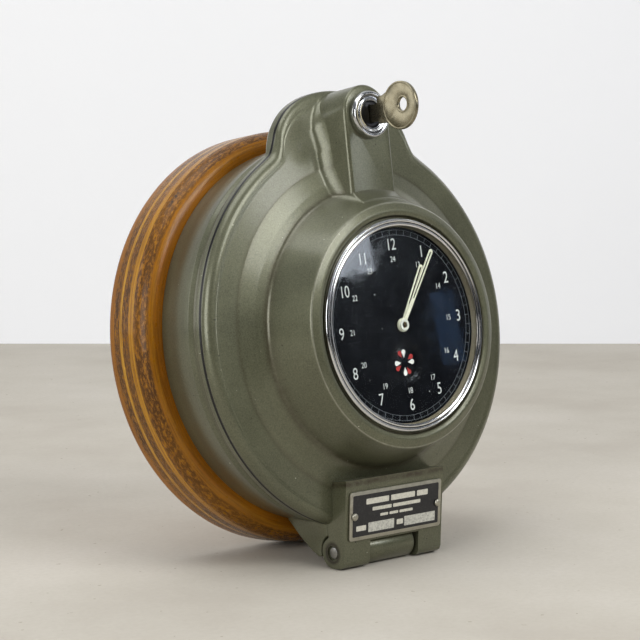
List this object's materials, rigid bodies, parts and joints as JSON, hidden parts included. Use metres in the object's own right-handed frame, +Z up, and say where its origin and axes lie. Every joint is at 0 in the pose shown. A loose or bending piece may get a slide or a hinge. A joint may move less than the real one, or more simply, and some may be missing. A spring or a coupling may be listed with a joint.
{
  "type": "time recorder clock",
  "caption": "Round key-locked recording time clock with a hinged steel cover, black dial and pendulum recorder, leaning on a round laminated wood board.",
  "frame": {"origin": "bottom centre of the bounding box, on the surface the clock stands on", "axes": "+Z up, -Y the side the dial faces, +X to the right of the dial; the case leans back about 8.3 degrees"},
  "size_m": [0.2046, 0.12, 0.2286],
  "materials": {
    "case_paint": "green-grey metallic hammered enamel, semi-gloss",
    "wood": "varnished laminated beech",
    "chrome": "polished",
    "steel": "bright steel",
    "brass": "lacquered brass",
    "key_metal": "worn nickel-brass",
    "dial_black": "black lacquer with printed numerals",
    "glass": "clear flat glass",
    "hand_cream": "cream enamel",
    "indicator_white": "white and red enamel",
    "plate_aluminium": "printed aluminium plate",
    "chart_paper": "waxed chart paper"
  },
  "bodies": {
    "case": {"wood_board": "wood", "rear_case": "case_paint", "hinge_pin": "steel", "board_screw_1": "steel", "board_screw_2": "steel", "board_screw_3": "steel", "board_screw_4": "steel", "lock_keeper": "steel", "pendulum_bracket": "steel"},
    "cover": {"front_cover": "case_paint", "nameplate": "plate_aluminium", "nameplate_rivet_left": "plate_aluminium", "nameplate_rivet_right": "plate_aluminium", "bezel_ring": "chrome", "dial_glass": "glass", "dial_spacer": "steel", "dial_plate": "dial_black", "indicator_dish": "dial_black", "movement_front_plate": "brass", "movement_back_plate": "brass", "movement_pillar_1": "brass", "movement_pillar_2": "brass", "movement_pillar_3": "brass", "pillar_screw_1": "steel", "pillar_screw_2": "steel", "pillar_screw_3": "steel", "cover_screw_1": "steel", "cover_screw_2": "steel", "cover_screw_3": "steel", "lock_body": "chrome", "lock_nut": "steel", "hairspring": "steel"},
    "lock": {"lock_plug": "steel", "lock_cam": "steel", "cam_screw": "steel"},
    "key": {"key": "key_metal"},
    "minute_arbor": {"centre_arbor": "brass", "minute_hand": "hand_cream", "hand_nut": "steel"},
    "hour_arbor": {"hour_wheel": "brass", "hour_hand": "hand_cream"},
    "motion_work": {"minute_wheel": "brass"},
    "barrel": {"mainspring_barrel": "brass"},
    "winder": {"winding_arbor": "steel"},
    "escapement": {"escape_wheel": "brass"},
    "pallet": {"pallet_lever": "steel"},
    "balance": {"balance_wheel": "brass"},
    "indicator": {"indicator_wheel": "indicator_white"},
    "chart": {"chart_spindle": "brass", "chart_disc": "chart_paper", "chart_nut": "brass"},
    "pendulum": {"pendulum_arm": "steel", "pendulum_weight": "brass", "weight_screw": "steel", "stylus": "steel"}
  },
  "joints": [
    {"name": "cover_hinge", "type": "hinge", "parent": "case", "child": "cover", "pos_m": [0, -0.03544, 0.00755], "axis": [1, 0, 0], "range_deg": [0, 95]},
    {"name": "lock_turn", "type": "hinge", "parent": "cover", "child": "lock", "pos_m": [0, -0.024, 0.21276], "axis": [0, 0.9895, -0.1448], "range_deg": [0, 90]},
    {"name": "key_pull", "type": "slide", "parent": "lock", "child": "key", "axis": [0, -0.9895, 0.1448], "range_m": [0, 0.03]},
    {"name": "minute_turn", "type": "hinge", "parent": "cover", "child": "minute_arbor", "pos_m": [0, -0.04623, 0.11404], "axis": [0, 0.9895, -0.1448], "continuous": true},
    {"name": "hour_turn", "type": "hinge", "parent": "cover", "child": "hour_arbor", "pos_m": [0, -0.04623, 0.11404], "axis": [0, 0.9895, -0.1448], "continuous": true},
    {"name": "motion_turn", "type": "hinge", "parent": "cover", "child": "motion_work", "pos_m": [-0.01128, -0.04286, 0.1094], "axis": [0, 0.9895, -0.1448], "continuous": true},
    {"name": "barrel_turn", "type": "hinge", "parent": "cover", "child": "barrel", "pos_m": [-0.01264, -0.03619, 0.09979], "axis": [0, 0.9895, -0.1448], "continuous": true},
    {"name": "winding_turn", "type": "hinge", "parent": "cover", "child": "winder", "pos_m": [-0.01264, -0.03619, 0.09979], "axis": [0, 0.9895, -0.1448], "continuous": true},
    {"name": "escape_turn", "type": "hinge", "parent": "cover", "child": "escapement", "pos_m": [0.01103, -0.03301, 0.12146], "axis": [0, 0.9895, -0.1448], "continuous": true},
    {"name": "pallet_rock", "type": "hinge", "parent": "cover", "child": "pallet", "pos_m": [0.01854, -0.0321, 0.12769], "axis": [0, 0.9895, -0.1448], "range_deg": [-2, 4]},
    {"name": "balance_swing", "type": "hinge", "parent": "cover", "child": "balance", "pos_m": [0.02773, -0.03098, 0.13532], "axis": [0, 0.9895, -0.1448], "range_deg": [-135, 135]},
    {"name": "indicator_turn", "type": "hinge", "parent": "cover", "child": "indicator", "pos_m": [0.00093, -0.04681, 0.09626], "axis": [0, 0.9895, -0.1448], "continuous": true},
    {"name": "chart_turn", "type": "hinge", "parent": "cover", "child": "chart", "pos_m": [0, -0.04623, 0.11404], "axis": [0, 0.9895, -0.1448], "continuous": true},
    {"name": "pendulum_swing", "type": "hinge", "parent": "case", "child": "pendulum", "pos_m": [0, 0.00397, 0.15318], "axis": [0, 0.9895, -0.1448], "range_deg": [-8, 8]}
  ],
  "couplings": [
    {"joint": "hour_turn", "follows": "minute_turn", "ratio": 0.083333},
    {"joint": "motion_turn", "follows": "minute_turn", "ratio": -0.33333},
    {"joint": "barrel_turn", "follows": "minute_turn", "ratio": -0.2},
    {"joint": "escape_turn", "follows": "minute_turn", "ratio": -5},
    {"joint": "indicator_turn", "follows": "minute_turn", "ratio": 5},
    {"joint": "chart_turn", "follows": "minute_turn", "ratio": 0.041667}
  ]
}
